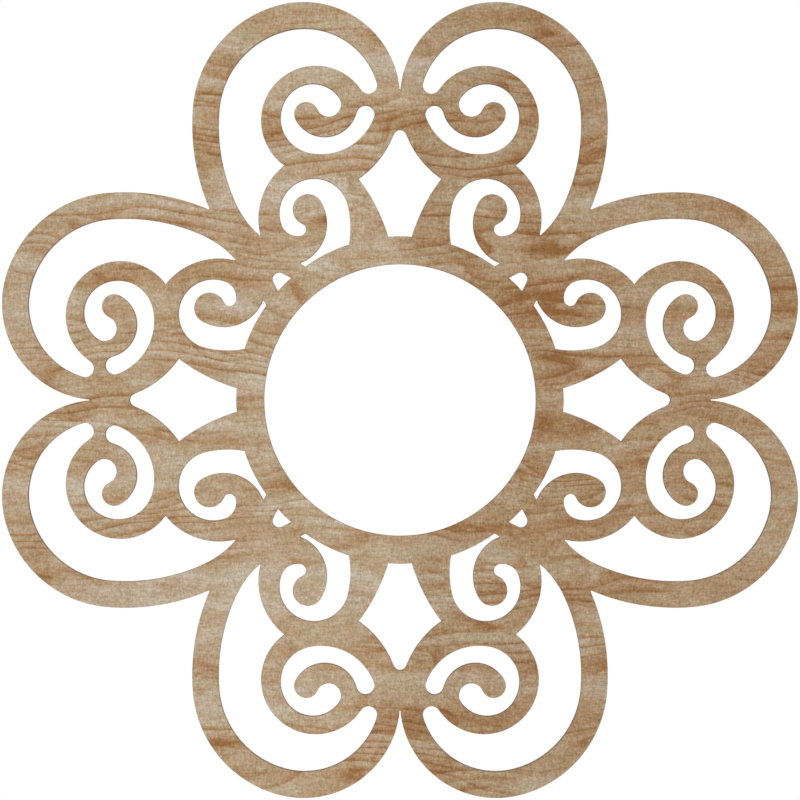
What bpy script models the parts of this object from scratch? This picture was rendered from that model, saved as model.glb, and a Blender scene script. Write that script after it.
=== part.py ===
"""Ceiling medallion: one flat panel of wood, pierced by scrolls round a central hole.

Metres, +Z up. The origin is the centre of the back face, which lies against the ceiling,
so the show face looks down. The pattern is drawn by compass, as the real one is set out:
each outline is a chain of arcs, and arcs that touch run on smoothly into each other.
One half lobe, beside the +Y axis, is drawn. Mirrored and turned, it makes all eight.
A point in the plane is a complex number, x + yj, and bearings are degrees from +X.
"""

from cmath import phase, rect
from collections import namedtuple
from math import acos, ceil, copysign, radians, sqrt, tau

import bmesh
import bpy

MM = 0.001

# Driving sizes
OVERALL = 508 * MM
THICKNESS = 9.5 * MM
HOLE_RADIUS = 86.8 * MM
RING_WIDTH = 17.7 * MM
RIM_WIDTH = 16.7 * MM
RIM_WIDTH_AT_AXIS = 13.5 * MM
DROP_HEIGHT = 9.0 * MM
POINT_ROUNDING = 4.2 * MM
CHORD_ERROR = 0.1 * MM

REACH = OVERALL / 2
RING_RADIUS = HOLE_RADIUS + RING_WIDTH
OVERSHOOT = THICKNESS / 2

DROP_HALF_ANGLE = 16.5
WOOD_COLOUR = (0.423, 0.296, 0.178, 1.0)

Circle = namedtuple("Circle", "centre radius")


def drawn(x, y, radius):
    """A circle of the scroll pattern, in shares of the medallion's reach."""
    return Circle(complex(x, y) * REACH, radius * REACH)


def towards(bearing):
    return rect(1, radians(bearing))


def at(circle, bearing):
    return circle.centre + circle.radius * towards(bearing)


def inset(circle, width):
    return Circle(circle.centre, circle.radius - width)


def run_on(circle, bearing, radius):
    """The circle of this radius that carries on from the first one at this bearing."""
    return Circle(at(circle, bearing) - radius * towards(bearing), radius)


def crossing(a, b, side):
    """Where two circles cross: side 1 is left of the line from a to b, -1 right of it."""
    apart = b.centre - a.centre
    along = (a.radius**2 - b.radius**2 + abs(apart) ** 2) / (2 * abs(apart))
    across = sqrt(a.radius**2 - along**2)
    return a.centre + (along + side * across * 1j) * apart / abs(apart)


def slot_end(outer, inner, bearing):
    """The circle that closes the slot between two walls, on this bearing from the inner one."""
    offset = inner.centre - outer.centre
    leaning = (offset * towards(bearing).conjugate()).real
    spare = outer.radius**2 - inner.radius**2 - abs(offset) ** 2 - 2 * inner.radius * leaning
    radius = spare / (2 * (leaning + inner.radius + outer.radius))
    return Circle(inner.centre + (inner.radius + radius) * towards(bearing), radius)


def meeting(a, b):
    """The point where two touching circles meet."""
    apart = b.centre - a.centre
    side_by_side = abs(apart) > max(a.radius, b.radius)
    reach = a.radius if side_by_side else copysign(a.radius, a.radius - b.radius)
    return a.centre + reach * apart / abs(apart)


def arc(circle, start, end, turn):
    """Points from start up to end, anticlockwise for a turn of 1 and clockwise for -1."""
    first = phase(start - circle.centre)
    sweep = turn * (phase(end - circle.centre) - first) % tau
    most = 2 * acos(1 - CHORD_ERROR / circle.radius)
    count = ceil(sweep / most)
    return [circle.centre + rect(circle.radius, first + turn * sweep * i / count) for i in range(count)]


def chain(start, *legs):
    """The points of an outline: each leg is (circle, turn, end), or (None, 0, end) when straight."""
    points = []
    for circle, turn, end in legs:
        points += arc(circle, start, end, turn) if circle else [start]
        start = end
    return points


def rounded(radius):
    """A full circle round the centre of the medallion."""
    circle = Circle(0j, radius)
    return arc(circle, at(circle, 0), at(circle, 180), 1) + arc(circle, at(circle, 180), at(circle, 0), 1)


def mirrored(points):
    """The same outline on the other side of the Y axis, still running anticlockwise."""
    return [-point.conjugate() for point in reversed(points)]


def under_the_ring(point):
    """The point moved straight inwards to the hole's edge, where the ring covers it."""
    return point * min(1, HOLE_RADIUS / abs(point))


def four_ways(points):
    return [[point * 1j**quarter for point in points] for quarter in range(4)]


def eight_ways(points):
    return four_ways(points) + four_ways(mirrored(points))


# The three circles of the outline: head at the end of the lobe, then shoulder, then flank
HEAD = drawn(0.2419, 0.7578, 0.2422)
SHOULDER = run_on(HEAD, 76.5, 0.2906 * REACH)
FLANK = run_on(SHOULDER, 4.6, 0.5359 * REACH)

# The outer edges of the two straps that curl into the scrolls
UPPER_STRAP = drawn(0.2115, 0.7022, 0.1375)
LOWER_STRAP = drawn(0.1827, 0.4543, 0.1730)


def half_lobe():
    """The outline from the notch on the diagonal to the notch on the arm's axis."""
    mirror_flank = Circle(FLANK.centre.conjugate() * 1j, FLANK.radius)
    mirror_head = Circle(-HEAD.centre.conjugate(), HEAD.radius)
    return chain(
        crossing(mirror_flank, FLANK, -1),
        (FLANK, 1, meeting(FLANK, SHOULDER)),
        (SHOULDER, 1, meeting(SHOULDER, HEAD)),
        (HEAD, 1, at(HEAD, 90)),
        (HEAD, 1, crossing(HEAD, mirror_head, -1)),
    )


def outline():
    lobe = half_lobe()
    axis_notch = crossing(HEAD, Circle(-HEAD.centre.conjugate(), HEAD.radius), -1)
    arm = lobe + [axis_notch] + mirrored(lobe)[:-1]
    return [point for turned in four_ways(arm) for point in turned]


def crescent():
    """The large opening between the rim of a lobe and its two straps."""
    flank, shoulder = inset(FLANK, RIM_WIDTH), inset(SHOULDER, RIM_WIDTH)
    head = run_on(shoulder, 74.7, HEAD.radius - RIM_WIDTH_AT_AXIS)
    foot = run_on(flank, -24.6, 0.2456 * REACH)
    end = slot_end(head, UPPER_STRAP, 146)
    tip = crossing(LOWER_STRAP, foot, -1)
    return chain(
        tip,
        (foot, 1, meeting(foot, flank)),
        (flank, 1, meeting(flank, shoulder)),
        (shoulder, 1, meeting(shoulder, head)),
        (head, 1, meeting(head, end)),
        (end, 1, meeting(end, UPPER_STRAP)),
        (UPPER_STRAP, -1, crossing(UPPER_STRAP, LOWER_STRAP, 1)),
        (LOWER_STRAP, -1, tip),
    )


def upper_slot():
    """The slot that coils round the upper scroll's bulb, round at both ends."""
    side = drawn(0.2094, 0.7096, 0.0908)
    top = run_on(side, 33.5, 0.0791 * REACH)
    sweep = run_on(side, -77.6, 0.1417 * REACH)
    tongue = drawn(0.1897, 0.7451, 0.0835)
    bulb = run_on(tongue, -30.4, 0.0304 * REACH)
    hook_end = slot_end(top, bulb, 156.2)
    tail_end = slot_end(sweep, tongue, 194.7)
    joint = meeting(top, side)
    return chain(
        joint,
        (top, 1, meeting(top, hook_end)),
        (hook_end, 1, meeting(hook_end, bulb)),
        (bulb, -1, meeting(bulb, tongue)),
        (tongue, -1, meeting(tongue, tail_end)),
        (tail_end, 1, meeting(tail_end, sweep)),
        (sweep, 1, meeting(sweep, side)),
        (side, 1, joint),
    )


def lower_slot():
    """The slot that coils round the lower scroll's bulb and runs down to the ring."""
    top = drawn(0.2163, 0.4700, 0.0869)
    leg = run_on(top, 165.4, 0.2356 * REACH)
    side = run_on(top, -20.1, 0.0433 * REACH)
    bulb = drawn(0.2313, 0.4787, 0.0383)
    tail = run_on(bulb, 149.5, 0.1070 * REACH)
    hook_end = slot_end(side, bulb, -67)
    leg_foot = at(leg, 195)
    tail_corner = at(tail, -111)
    tail_foot = tail_corner + 0.03 * REACH * towards(-151)
    return chain(
        under_the_ring(leg_foot),
        (None, 0, under_the_ring(tail_foot)),
        (None, 0, tail_foot),
        (None, 0, tail_corner),
        (tail, -1, meeting(tail, bulb)),
        (bulb, -1, meeting(bulb, hook_end)),
        (hook_end, 1, meeting(hook_end, side)),
        (side, 1, meeting(side, top)),
        (top, 1, meeting(top, leg)),
        (leg, 1, leg_foot),
        (None, 0, under_the_ring(leg_foot)),
    )


def kite():
    """The opening on the arm's axis, between the heads of two lobes and the ring."""
    side = drawn(0.4683, 0.2788, 0.4579)
    cheek = drawn(0.2433, 0.7574, 0.2444)
    rise = sqrt((cheek.radius + POINT_ROUNDING) ** 2 - cheek.centre.real**2)
    top = Circle((cheek.centre.imag - rise) * 1j, POINT_ROUNDING)
    foot = at(side, 163)
    half = chain(
        under_the_ring(foot),
        (None, 0, foot),
        (side, -1, crossing(side, cheek, 1)),
        (cheek, -1, meeting(cheek, top)),
        (top, 1, top.centre + POINT_ROUNDING * 1j),
    )
    return half + [top.centre + POINT_ROUNDING * 1j] + mirrored(half)


def drop():
    """The small opening on the diagonal, a round point that stands on the ring."""
    point = Circle((RING_RADIUS + DROP_HEIGHT - POINT_ROUNDING) * 1j, POINT_ROUNDING)
    shoulder = at(point, DROP_HALF_ANGLE)
    foot = shoulder + (DROP_HEIGHT + RING_WIDTH / 2) * towards(DROP_HALF_ANGLE - 90)
    half = [foot] + chain(shoulder, (point, 1, at(point, 90)))
    upright = half + [at(point, 90)] + mirrored(half)
    return [corner * towards(-45) for corner in upright]


def prism(name, loops, low, high):
    """An object with one upright prism over each closed loop of points."""
    shape = bmesh.new()
    for loop in loops:
        shape.faces.new([shape.verts.new((point.real, point.imag, low)) for point in loop])
    raised = bmesh.ops.extrude_face_region(shape, geom=shape.faces[:])["geom"]
    corners = [item for item in raised if isinstance(item, bmesh.types.BMVert)]
    bmesh.ops.translate(shape, verts=corners, vec=(0, 0, high - low))
    bmesh.ops.recalc_face_normals(shape, faces=shape.faces)
    mesh = bpy.data.meshes.new(name)
    shape.to_mesh(mesh)
    shape.free()
    obj = bpy.data.objects.new(name, mesh)
    bpy.context.scene.collection.objects.link(obj)
    return obj


def cutter(name, loops, overshoot=OVERSHOOT):
    """A prism that passes both faces of the panel, and isn't part of it."""
    obj = prism(name, loops, -THICKNESS - overshoot, overshoot)
    obj.hide_render = True
    obj.display_type = "WIRE"
    return obj


def cut(obj, tool):
    """Cuts the tool from the object: where both are closed, the manifold solver's result is closed too."""
    boolean = obj.modifiers.new(tool.name, "BOOLEAN")
    boolean.operation = "DIFFERENCE"
    boolean.solver = "MANIFOLD"
    boolean.object = tool


def wood():
    """Pale hardwood, sanded and left matt."""
    material = bpy.data.materials.new("hardwood")
    material.use_nodes = True
    shader = material.node_tree.nodes["Principled BSDF"]
    shader.inputs["Base Color"].default_value = WOOD_COLOUR
    shader.inputs["Roughness"].default_value = 0.6
    shader.inputs["Metallic"].default_value = 0.0
    return material


def main():
    for obj in list(bpy.data.objects):
        bpy.data.objects.remove(obj)

    panel = prism("pierced_panel", [outline()], -THICKNESS, 0)
    panel.data.materials.append(wood())

    cut(panel, cutter("hole_cutter", [rounded(HOLE_RADIUS)]))
    cut(panel, cutter("crescent_cutter", eight_ways(crescent())))
    cut(panel, cutter("upper_slot_cutter", eight_ways(upper_slot())))

    # What stands on the ring is drawn on under it, and the ring's own edge ends it.
    ring = cutter("ring_edge", [rounded(RING_RADIUS)], 2 * OVERSHOOT)
    standing = {
        "lower_slot_cutter": eight_ways(lower_slot()),
        "kite_cutter": four_ways(kite()),
        "drop_cutter": four_ways(drop()),
    }
    for name, loops in standing.items():
        tool = cutter(name, loops)
        cut(tool, ring)
        cut(panel, tool)


if __name__ == "__main__":
    main()
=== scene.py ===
"""The looks of the ceiling medallion: one flat panel of pale hardwood, cut right through in scrolls.

Metres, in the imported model's frame. The ceiling is z = 0 and the show face looks down, so the
camera lies under the medallion and looks straight up. The grain runs along X.
"""

from math import atan2, cos, pi, radians, sin

import bmesh
import bpy
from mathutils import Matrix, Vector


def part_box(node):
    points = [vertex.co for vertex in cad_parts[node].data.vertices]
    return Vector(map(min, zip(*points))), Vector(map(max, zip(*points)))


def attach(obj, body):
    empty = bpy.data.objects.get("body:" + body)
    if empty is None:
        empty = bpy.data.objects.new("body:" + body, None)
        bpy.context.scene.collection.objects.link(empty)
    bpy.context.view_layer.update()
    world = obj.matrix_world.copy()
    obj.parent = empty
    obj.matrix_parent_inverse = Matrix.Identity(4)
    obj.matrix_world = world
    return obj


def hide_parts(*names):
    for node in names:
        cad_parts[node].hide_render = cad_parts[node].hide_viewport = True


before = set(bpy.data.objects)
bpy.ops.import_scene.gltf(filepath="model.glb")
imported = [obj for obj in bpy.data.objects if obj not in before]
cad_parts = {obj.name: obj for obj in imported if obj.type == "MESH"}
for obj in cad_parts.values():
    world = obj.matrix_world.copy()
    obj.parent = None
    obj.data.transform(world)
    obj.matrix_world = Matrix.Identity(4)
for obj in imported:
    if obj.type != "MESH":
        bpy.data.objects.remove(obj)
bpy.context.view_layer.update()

MM = 0.001
NODE = "pierced_panel"
LOW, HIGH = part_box(NODE)
SPAN = HIGH.x - LOW.x
THICKNESS = HIGH.z - LOW.z

# The cut edge: sanding rounds the show face's arrises a little more than the back's
FRONT_ARRIS = 0.45 * MM
BACK_ARRIS = 0.25 * MM
SHOULDER = 0.3 * MM
ARRIS_STEPS = 3

# The outlines: what turns by less than CORNER is part of a smooth curve
CORNER = radians(50)
STEPS_PER_STRETCH = 2
# Where an outline turns by more than this, a notch ends, and a saw leaves its end this wide
NOTCH = radians(120)
SAW_CUT = 0.6 * MM

# The solid's triangles point down by more than the first on the show face, and by less than the
# second on the walls and the back
SHOW_FACE_NORMAL = -0.9
OTHER_NORMAL = -0.1
# Corners this close are one: of the solid's triangles, and of the walls and faces that meet here
WELD = 0.01 * MM
SEAM_WELD = 0.001 * MM
# The panel's edges are sharp where its faces turn by more than this
CREASE = radians(20)

# The photograph: a long lens 3 m below the ceiling, with 796.2 of its 800 pixels on the medallion
CAMERA_DISTANCE = 3.0
SENSOR = 36 * MM
FRAME_PX = 800
SPAN_PX = 796.2

# The wood's tones run from 0, dark, to 1, pale, which are this many levels of grey apart
TONE_LEVELS = 73
SHADES = {0.0: "#8f653d", 0.26: "#9f7a56", 0.556: "#ad9374", 0.815: "#b7a68f", 1.0: "#bfb1a0"}
GROUND_TONE = 0.616
# How far noise strays from 0.5, by its detail
NOISE_STRAYS = (0.133, 0.098, 0.084)
NOISE_ROUGHNESS = 0.55

# How far the fibres wander sideways
SWING = 20 * MM
RIPPLE = 6 * MM

# Left of a ragged line the board is paler and greyer, and right of it darker and browner
SIDE_LEVELS = 8.8
SIDE_FROM = -42 * MM
SIDE_TO = -6 * MM
SIDE_RAGGED = 60 * MM

# Broad bands, with the angle of the wave at the middle of the board
BAND_LEVELS = 2.2
BAND_SPACING = 102 * MM
BAND_START = 0.6

# The late wood of a growth ring turns pale again from this share of the ring's width on
LATE_WOOD_PALES = 0.86
# The rings are hidden where noise is under the first value, and clear where it is over the second
RINGS_HIDDEN = 0.4
RINGS_CLEAR = 0.7

# The weave and the sides change the tone by the first share and the brightness by the second
WEAVE_TONE = 0.4
WEAVE_BRIGHTNESS = 0.66
SIDE_TONE = 0.65
SIDE_BRIGHTNESS = 0.39
# Redder wood has more red and blue and less green
REDDER = (1.0, -0.5, 1.0)

# The painted shade of the cut edges comes in between these distances from the nearer face
EDGE_SHADE_FROM = 0.1 * MM
EDGE_SHADE_TO = 0.5 * MM
# It is the wood's colour multiplied by this, a painted shade for walls that face sideways and get less
# light
EDGE_SHADE_TINT = "#c8a090"

# The studio
FLOOR_DROP = 4.6
FLOOR_SIZE = 400.0
PAPER = "#f5f4f1"
WHITE = "#ffffff"
SURROUNDING_LIGHT = 0.62
LAMP_SIZE = 2.5
# Each lamp's name, height, watts and tilt
LAMPS = (("lamp_below", 0.1 - FLOOR_DROP, 87, pi), ("lamp_above", 4.0, 80, 0))


def linear(colour):
    """A hex colour as linear RGBA."""
    parts = [int(colour[place : place + 2], 16) / 255 for place in (1, 3, 5)]
    return [part / 12.92 if part <= 0.04045 else ((part + 0.055) / 1.055) ** 2.4 for part in parts] + [1]


def add(tree, kind, inputs=None, **settings):
    """Adds a node, with its settings, and fills or links its inputs by name or number."""
    node = tree.nodes.new(kind)
    for name, value in settings.items():
        setattr(node, name, value)
    for key, value in (inputs or {}).items():
        if isinstance(value, bpy.types.Node):
            value = value.outputs[0]
        if isinstance(value, bpy.types.NodeSocket):
            tree.links.new(value, node.inputs[key])
        else:
            node.inputs[key].default_value = value
    return node


def outlines(node):
    """The closed outlines of the node's show face, each run round with the wood on its right."""
    shape = bmesh.new()
    shape.from_mesh(node.data)
    bmesh.ops.remove_doubles(shape, verts=shape.verts, dist=WELD)
    following = {}
    for face in shape.faces:
        if face.normal.z < SHOW_FACE_NORMAL:
            for loop in face.loops:
                if loop.link_loop_radial_next.face.normal.z > OTHER_NORMAL:
                    following[loop.vert] = loop.link_loop_next.vert
    found = []
    while following:
        corner, after = following.popitem()
        path = [corner.co.copy()]
        while after in following:
            path.append(after.co.copy())
            after = following.pop(after)
        found.append(path)
    shape.free()
    return found


def turn(path, place):
    """How far the outline turns at this point."""
    here = path[place] - path[place - 1]
    there = path[(place + 1) % len(path)] - path[place]
    return abs(atan2(here.x * there.y - here.y * there.x, here.x * there.x + here.y * there.y))


def blunted(path):
    """The outline with the end of each notch as wide as a saw's cut."""
    points = []
    for place, point in enumerate(path):
        before, after = path[place - 1], path[(place + 1) % len(path)]
        if turn(path, place) > NOTCH:
            share = SAW_CUT / (after - before).length
            points += [point.lerp(before, share), point.lerp(after, share)]
        else:
            points.append(point)
    return points


def outline_object(paths):
    """The outlines as curves: smooth through the points of each arc, and sharp at the corners."""
    curve = bpy.data.curves.new("outlines", "CURVE")
    curve.dimensions = "3D"
    curve.resolution_u = STEPS_PER_STRETCH
    for path in paths:
        spline = curve.splines.new("BEZIER")
        spline.use_cyclic_u = True
        spline.bezier_points.add(len(path) - 1)
        for place, point in enumerate(spline.bezier_points):
            handle = "VECTOR" if turn(path, place) > CORNER else "AUTO"
            point.co = (path[place].x, path[place].y, 0)
            point.handle_left_type = point.handle_right_type = handle
    holder = bpy.data.objects.new("outlines", curve)
    bpy.context.scene.collection.objects.link(holder)
    return holder


def quarter(inwards, down, radius, start):
    """A quarter round of the section, about the point given, from the start angle."""
    angles = [start - pi / 2 * step / ARRIS_STEPS for step in range(ARRIS_STEPS + 1)]
    return [(inwards - radius * cos(angle), down + radius * sin(angle)) for angle in angles]


def section_object():
    """The section of the cut edge from face to face, as how far inwards and how far down."""
    points = [
        (FRONT_ARRIS + SHOULDER, THICKNESS),
        *quarter(FRONT_ARRIS, THICKNESS - FRONT_ARRIS, FRONT_ARRIS, pi / 2),
        (0, THICKNESS - FRONT_ARRIS - SHOULDER),
        (0, BACK_ARRIS + SHOULDER),
        *quarter(BACK_ARRIS, BACK_ARRIS, BACK_ARRIS, 0),
        (BACK_ARRIS + SHOULDER, 0),
    ]
    curve = bpy.data.curves.new("section", "CURVE")
    curve.dimensions = "3D"
    spline = curve.splines.new("POLY")
    spline.points.add(len(points) - 1)
    for point, (inwards, down) in zip(spline.points, points):
        point.co = (inwards, down, 0, 1)
    holder = bpy.data.objects.new("section", curve)
    bpy.context.scene.collection.objects.link(holder)
    return holder


def panel_tree():
    """Sweeps the section along every outline and fills the two faces between them."""
    tree = bpy.data.node_groups.new("panel with eased edges", "GeometryNodeTree")
    kinds = {
        "Outlines": "NodeSocketGeometry",
        "Section": "NodeSocketObject",
        "Show Face Height": "NodeSocketFloat",
        "Show Face Inset": "NodeSocketFloat",
        "Back Inset": "NodeSocketFloat",
        "Wood": "NodeSocketMaterial",
    }
    for name, kind in kinds.items():
        tree.interface.new_socket(name, in_out="INPUT", socket_type=kind)
    tree.interface.new_socket("Panel", in_out="OUTPUT", socket_type="NodeSocketGeometry")

    # The walls, with their eased arrises
    given = add(tree, "NodeGroupInput").outputs
    stepped = add(tree, "GeometryNodeResampleCurve", {"Curve": given["Outlines"]}, mode="EVALUATED")
    level = add(tree, "GeometryNodeSetCurveNormal", {"Curve": stepped}, mode="Z_UP")
    section = add(tree, "GeometryNodeObjectInfo", {"Object": given["Section"]}).outputs["Geometry"]
    edges = add(tree, "GeometryNodeCurveToMesh", {"Curve": level, "Profile Curve": section})

    # The two faces, each from where the section starts or ends
    into_wood = add(tree, "GeometryNodeInputNormal")
    faces = []
    for inset in (given["Show Face Inset"], given["Back Inset"]):
        offset = add(tree, "ShaderNodeVectorMath", {0: into_wood, "Scale": inset}, operation="SCALE")
        shrunk = add(tree, "GeometryNodeSetPosition", {"Geometry": level, "Offset": offset})
        faces.append(add(tree, "GeometryNodeFillCurve", {"Curve": shrunk}, mode="TRIANGLES"))
    down = add(tree, "ShaderNodeCombineXYZ", {"Z": given["Show Face Height"]})
    lowered = add(tree, "GeometryNodeTransform", {"Geometry": faces[0], "Translation": down})
    show_face = add(tree, "GeometryNodeFlipFaces", {"Mesh": lowered})

    # All of it as one closed mesh
    joined = add(tree, "GeometryNodeJoinGeometry")
    for piece in (edges, show_face, faces[1]):
        tree.links.new(piece.outputs[0], joined.inputs[0])
    welded = add(tree, "GeometryNodeMergeByDistance", {"Geometry": joined, "Distance": SEAM_WELD})
    smooth = add(tree, "GeometryNodeSetShadeSmooth", {"Geometry": welded})
    real = add(tree, "GeometryNodeRealizeInstances", {"Geometry": smooth})
    finished = add(tree, "GeometryNodeSetMaterial", {"Geometry": real, "Material": given["Wood"]})
    add(tree, "NodeGroupOutput", {"Panel": finished})
    return tree


def finer_panel(wood):
    """The panel with smooth curves and eased edges, within the box of the node that it replaces."""
    source = outline_object([blunted(path) for path in outlines(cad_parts[NODE])])
    section = section_object()
    modifier = source.modifiers.new("panel", "NODES")
    modifier.node_group = panel_tree()
    sizes = {
        "Section": section,
        "Show Face Height": LOW.z,
        "Show Face Inset": FRONT_ARRIS + SHOULDER,
        "Back Inset": BACK_ARRIS + SHOULDER,
        "Wood": wood,
    }
    for socket in modifier.node_group.interface.items_tree:
        if socket.name in sizes:
            modifier[socket.identifier] = sizes[socket.name]
    evaluated = source.evaluated_get(bpy.context.evaluated_depsgraph_get())
    mesh = bpy.data.meshes.new_from_object(evaluated)
    mesh.set_sharp_from_angle(angle=CREASE)
    for helper in (source, section):
        bpy.data.objects.remove(helper)
    panel = bpy.data.objects.new("scrolled_panel", mesh)
    bpy.context.scene.collection.objects.link(panel)
    return panel


def clouds(tree, place, size, detail, seed):
    """Noise round 0.5 whose clouds are about this many millimetres long along X, Y and Z."""
    moved = {"Vector": place, "Location": [seed] * 3, "Scale": [1 / (length * MM) for length in size]}
    noise = {
        "Vector": add(tree, "ShaderNodeMapping", moved),
        "Scale": 1.0,
        "Detail": detail,
        "Roughness": NOISE_ROUGHNESS,
    }
    return add(tree, "ShaderNodeTexNoise", noise)


def figure(tree, place, size, detail, seed, levels):
    """The same noise as a tone round 0, which strays by this many levels of grey."""
    weight = levels / TONE_LEVELS / NOISE_STRAYS[detail]
    noise = clouds(tree, place, size, detail, seed)
    return add(tree, "ShaderNodeMath", {0: noise, 1: weight, 2: -weight / 2}, operation="MULTIPLY_ADD")


def rings(tree, fibre, spacing, size, folds, sharpness, levels, seed):
    """Growth rings this many millimetres apart: each darkens across its width, the more sharply
    the later, and is soon pale again. Noise of this size folds them, and they come and go."""
    across = add(tree, "ShaderNodeSeparateXYZ", {0: fibre}).outputs["Y"]
    even = add(tree, "ShaderNodeMath", {0: across, 1: spacing * MM}, operation="DIVIDE")
    noise = clouds(tree, fibre, size, 0, seed)
    folded = add(tree, "ShaderNodeMath", {0: noise, 1: folds, 2: even}, operation="MULTIPLY_ADD")
    ripening = add(tree, "ShaderNodeMath", {0: folded}, operation="FRACT")
    darkening = add(tree, "ShaderNodeMath", {0: ripening, 1: sharpness}, operation="POWER")
    winter = {
        "Value": ripening,
        "From Min": LATE_WOOD_PALES,
        "From Max": 1.0,
        "To Min": 1.0,
        "To Max": 0.0,
    }
    growing = add(tree, "ShaderNodeMapRange", winter, interpolation_type="SMOOTHSTEP")
    late_wood = add(tree, "ShaderNodeMath", {0: darkening, 1: growing}, operation="MULTIPLY")
    depth = {
        "Value": clouds(tree, fibre, size, 0, seed + 2.0),
        "From Min": RINGS_HIDDEN,
        "From Max": RINGS_CLEAR,
        "To Min": 0.0,
        "To Max": -levels / TONE_LEVELS,
    }
    clear = add(tree, "ShaderNodeMapRange", depth, interpolation_type="SMOOTHSTEP")
    return add(tree, "ShaderNodeMath", {0: late_wood, 1: clear}, operation="MULTIPLY")


def sides(tree, place, swing):
    """The tone of the board's two sides, of which one is paler and greyer than the other."""
    along = add(tree, "ShaderNodeSeparateXYZ", {0: place}).outputs["X"]
    ragged = add(tree, "ShaderNodeMath", {0: swing, 1: -SIDE_RAGGED, 2: along}, operation="MULTIPLY_ADD")
    line = {
        "Value": ragged,
        "From Min": SIDE_FROM,
        "From Max": SIDE_TO,
        "To Min": SIDE_LEVELS / TONE_LEVELS,
        "To Max": -SIDE_LEVELS / TONE_LEVELS,
    }
    return add(tree, "ShaderNodeMapRange", line, interpolation_type="SMOOTHSTEP")


def bands(tree, fibre):
    """The tone of broad pale bands, which run with the grain."""
    across = add(tree, "ShaderNodeSeparateXYZ", {0: fibre}).outputs["Y"]
    turns = {0: across, 1: 2 * pi / BAND_SPACING, 2: BAND_START}
    wave = add(tree, "ShaderNodeMath", turns, operation="MULTIPLY_ADD")
    sine = add(tree, "ShaderNodeMath", {0: wave}, operation="SINE")
    return add(tree, "ShaderNodeMath", {0: sine, 1: BAND_LEVELS / TONE_LEVELS}, operation="MULTIPLY")


def weave(tree, place):
    """Fibres, rays and pores. They are finer than a pixel, so they are drawn at about a millimetre."""
    fibres = figure(tree, place, size=(5.0, 1.0, 1.0), detail=0, seed=37.0, levels=4.2)
    rays = figure(tree, place, size=(1.0, 2.6, 1.0), detail=0, seed=41.0, levels=4.5)
    pores = figure(tree, place, size=(1.1, 1.1, 1.1), detail=0, seed=43.0, levels=5.5)
    woven = 0.0
    for part in (fibres, rays, pores):
        woven = add(tree, "ShaderNodeMath", {0: woven, 1: part}, operation="ADD")
    return woven


def edge_shade_mask(tree, place):
    """1 on the cut edges, where their painted shade goes, and 0 on the two faces, by the distance from
    the nearer face.
    """
    height = add(tree, "ShaderNodeSeparateXYZ", {0: place}).outputs["Z"]
    above = add(tree, "ShaderNodeMath", {0: height, 1: LOW.z}, operation="SUBTRACT")
    below = add(tree, "ShaderNodeMath", {0: HIGH.z, 1: height}, operation="SUBTRACT")
    depth = add(tree, "ShaderNodeMath", {0: above, 1: below}, operation="MINIMUM")
    past_arris = {"Value": depth, "From Min": EDGE_SHADE_FROM, "From Max": EDGE_SHADE_TO}
    return add(tree, "ShaderNodeMapRange", past_arris, interpolation_type="SMOOTHSTEP")


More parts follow.
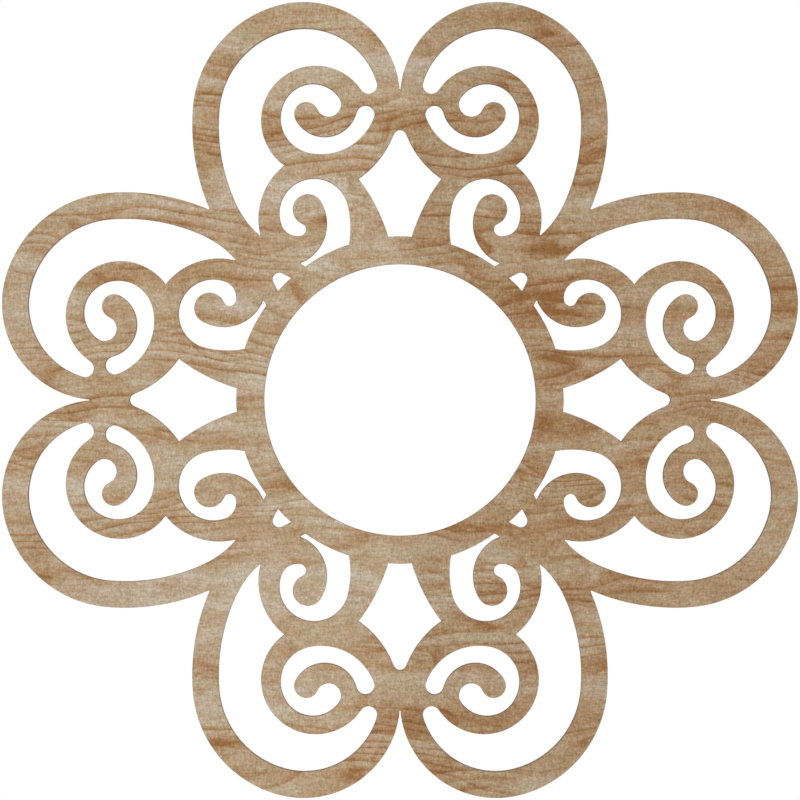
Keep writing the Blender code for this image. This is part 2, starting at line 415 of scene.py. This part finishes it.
def hardwood():
    """Alder, sanded and unfinished: a matt beige ground with soft orange-brown growth streaks."""
    material = bpy.data.materials.new("sanded_alder")
    material.use_nodes = True
    tree = material.node_tree
    tree.nodes.clear()
    place = add(tree, "ShaderNodeTexCoord").outputs["Object"]

    # The fibres wander sideways, in long swings and short ripples
    swing = clouds(tree, place, size=(120, 80, 90), detail=0, seed=2.0)
    ripple = clouds(tree, place, size=(30, 24, 30), detail=0, seed=7.0)
    swung = add(tree, "ShaderNodeMath", {0: swing, 1: SWING}, operation="MULTIPLY")
    wander = add(tree, "ShaderNodeMath", {0: ripple, 1: RIPPLE, 2: swung}, operation="MULTIPLY_ADD")
    aside = add(tree, "ShaderNodeCombineXYZ", {"Y": wander})
    fibre = add(tree, "ShaderNodeVectorMath", {0: place, 1: aside}, operation="ADD")

    # The figure of the wood, which follows its fibres but for some soft patches
    long_streaks = figure(tree, fibre, size=(220, 12, 40), detail=1, seed=9.0, levels=4.8)
    short_streaks = figure(tree, fibre, size=(24, 12, 14), detail=2, seed=11.0, levels=3.9)
    soft_patches = figure(tree, place, size=(70, 45, 60), detail=1, seed=3.0, levels=3.0)
    fine_lines = figure(tree, fibre, size=(36, 4.5, 6), detail=1, seed=23.0, levels=2.4)
    long_rings = rings(
        tree, fibre, spacing=9.0, size=(130, 24, 30), folds=6.0, sharpness=4.0, levels=57.0, seed=29.0
    )
    short_rings = rings(
        tree, fibre, spacing=14.0, size=(50, 18, 20), folds=4.5, sharpness=2.0, levels=35.0, seed=35.0
    )
    figures = (long_streaks, short_streaks, soft_patches, fine_lines, long_rings, short_rings)

    # The figure changes the wood's colour, and the weave and the sides also its brightness
    woven = weave(tree, place)
    sided = sides(tree, place, swing)
    woven_tone = add(tree, "ShaderNodeMath", {0: woven, 1: WEAVE_TONE}, operation="MULTIPLY")
    sided_tone = add(tree, "ShaderNodeMath", {0: sided, 1: SIDE_TONE}, operation="MULTIPLY")
    tone = 0.0
    for part in (*figures, woven_tone, sided_tone, bands(tree, fibre), GROUND_TONE):
        tone = add(tree, "ShaderNodeMath", {0: tone, 1: part}, operation="ADD")
    ramp = add(tree, "ShaderNodeValToRGB", {"Fac": tone})
    stops = ramp.color_ramp.elements
    while len(stops) < len(SHADES):
        stops.new(0.5)
    for stop, (spot, shade) in zip(stops, SHADES.items()):
        stop.position = spot
        stop.color = linear(shade)
    shading = {0: woven, 1: WEAVE_BRIGHTNESS, 2: 1.0}
    shaded = add(tree, "ShaderNodeMath", shading, operation="MULTIPLY_ADD")
    lighting = {0: sided, 1: SIDE_BRIGHTNESS, 2: shaded}
    brightness = add(tree, "ShaderNodeMath", lighting, operation="MULTIPLY_ADD")
    lit = {0: ramp.outputs["Color"], "Scale": brightness}
    colour = add(tree, "ShaderNodeVectorMath", lit, operation="SCALE")

    # Here and there the wood is a little redder or yellower than its tone alone makes it
    redness = figure(tree, fibre, size=(40, 6, 8), detail=2, seed=51.0, levels=0.8)
    tinge = add(tree, "ShaderNodeVectorMath", {0: REDDER, "Scale": redness}, operation="SCALE")
    colour = add(tree, "ShaderNodeVectorMath", {0: colour, 1: tinge, 2: colour}, operation="MULTIPLY_ADD")

    # The cut edges are darkened as painted shade, for walls that face sideways get less light. The node's
    # colours are its inputs 6 and 7
    edge_shading = {"Factor": edge_shade_mask(tree, place), 6: colour, 7: linear(EDGE_SHADE_TINT)}
    colour = add(tree, "ShaderNodeMix", edge_shading, data_type="RGBA", blend_type="MULTIPLY").outputs[2]

    # Sanding leaves a relief of a tenth of a millimetre at most, so the sheen is low and uneven
    relief = add(tree, "ShaderNodeMath", {0: tone, 1: woven}, operation="ADD")
    bump = add(tree, "ShaderNodeBump", {"Height": relief, "Strength": 0.3, "Distance": 0.1 * MM})
    surface = {
        "Base Color": colour,
        "Normal": bump,
        "Roughness": 0.75,
        "IOR": 1.5,
        "Specular IOR Level": 0.1,
    }
    shader = add(tree, "ShaderNodeBsdfPrincipled", surface)
    add(tree, "ShaderNodeOutputMaterial", {"Surface": shader})
    return material


def studio_paper():
    """Studio paper, pale and uncoated: it scatters light evenly and shows no gloss."""
    material = bpy.data.materials.new("studio_paper")
    material.use_nodes = True
    shader = material.node_tree.nodes["Principled BSDF"]
    shader.inputs["Base Color"].default_value = linear(PAPER)
    shader.inputs["Roughness"].default_value = 0.9
    return material


def studio():
    """White surroundings, a broad soft lamp below the show face, one above, and a pale floor."""
    scene = bpy.context.scene
    scene.view_settings.view_transform = "Standard"
    scene.world = bpy.data.worlds.new("white studio")
    scene.world.use_nodes = True
    tree = scene.world.node_tree
    tree.nodes.clear()
    seen = add(tree, "ShaderNodeLightPath").outputs["Is Camera Ray"]
    light = add(tree, "ShaderNodeBackground", {"Color": linear(WHITE), "Strength": SURROUNDING_LIGHT})
    backdrop = add(tree, "ShaderNodeBackground", {"Color": linear(WHITE), "Strength": 1.0})
    mixed = add(tree, "ShaderNodeMixShader", {0: seen, 1: light, 2: backdrop})
    add(tree, "ShaderNodeOutputWorld", {"Surface": mixed})

    for name, height, watts, tilt in LAMPS:
        lamp = bpy.data.lights.new(name, "AREA")
        lamp.size = LAMP_SIZE
        lamp.energy = watts
        holder = bpy.data.objects.new(name, lamp)
        holder.location = (0, 0, height)
        holder.rotation_euler = (tilt, 0, 0)
        holder.visible_camera = False
        scene.collection.objects.link(holder)

    sheet = bmesh.new()
    bmesh.ops.create_grid(sheet, size=FLOOR_SIZE / 2)
    bmesh.ops.translate(sheet, verts=sheet.verts, vec=(0, 0, -FLOOR_DROP))
    mesh = bpy.data.meshes.new("floor")
    sheet.to_mesh(mesh)
    sheet.free()
    mesh.materials.append(studio_paper())
    floor = bpy.data.objects.new("floor", mesh)
    scene.collection.objects.link(floor)


def camera():
    """Straight below the centre, looking up, with +X to the right."""
    data = bpy.data.cameras.new("camera")
    data.sensor_width = SENSOR / MM
    to_face = CAMERA_DISTANCE + LOW.z
    data.lens = data.sensor_width * to_face / (SPAN * FRAME_PX / SPAN_PX)
    holder = bpy.data.objects.new("camera", data)
    holder.location = (0, 0, -CAMERA_DISTANCE)
    holder.rotation_euler = (pi, 0, 0)
    bpy.context.scene.collection.objects.link(holder)
    bpy.context.scene.camera = holder


camera()
studio()
panel = finer_panel(hardwood())
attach(panel, "root")
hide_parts(NODE)
